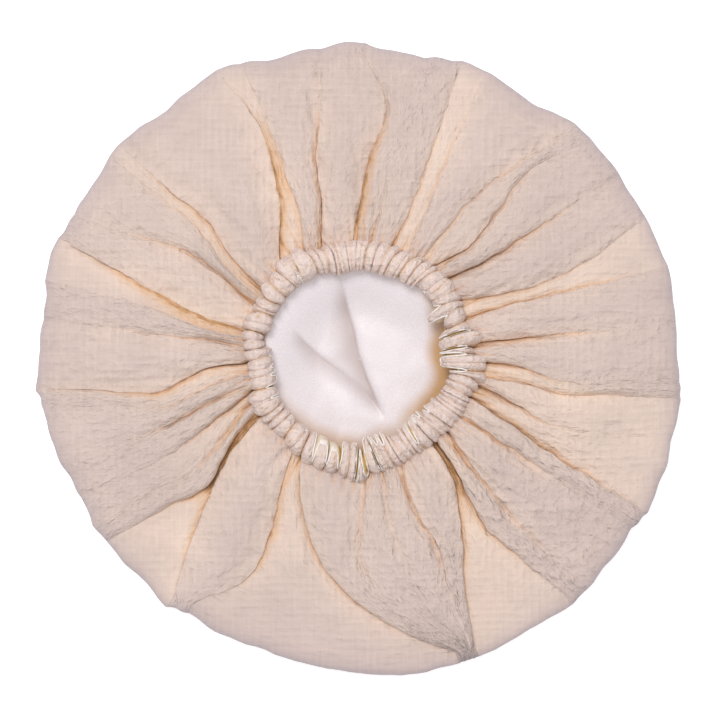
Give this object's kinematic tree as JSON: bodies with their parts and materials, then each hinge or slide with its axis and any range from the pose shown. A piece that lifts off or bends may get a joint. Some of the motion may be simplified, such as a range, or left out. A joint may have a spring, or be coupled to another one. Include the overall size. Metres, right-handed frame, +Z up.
{
  "type": "gathered sleep bonnet",
  "caption": "Round muslin sleep bonnet with a satin lining, lying flat, its skirt gathered by folds into a ruched elastic casing round the open mouth.",
  "frame": {"origin": "on the table under the middle of the bonnet's plan outline", "axes": "+Z up out of the mouth, +X along the longest width, +Y towards the back of the plan, the picture's top edge"},
  "size_m": [0.3824, 0.374, 0.0382],
  "materials": {
    "muslin": "crinkled double gauze muslin, matt, warm beige, brighter and peachier in the furrows",
    "satin": "smooth satin, off-white, soft gloss",
    "elastic": "plain woven elastic, off-white, hidden in the casing"
  },
  "bodies": {
    "root": {"shell": "muslin", "casing": "muslin", "lining": "satin", "elastic_band": "elastic"}
  },
  "joints": []
}
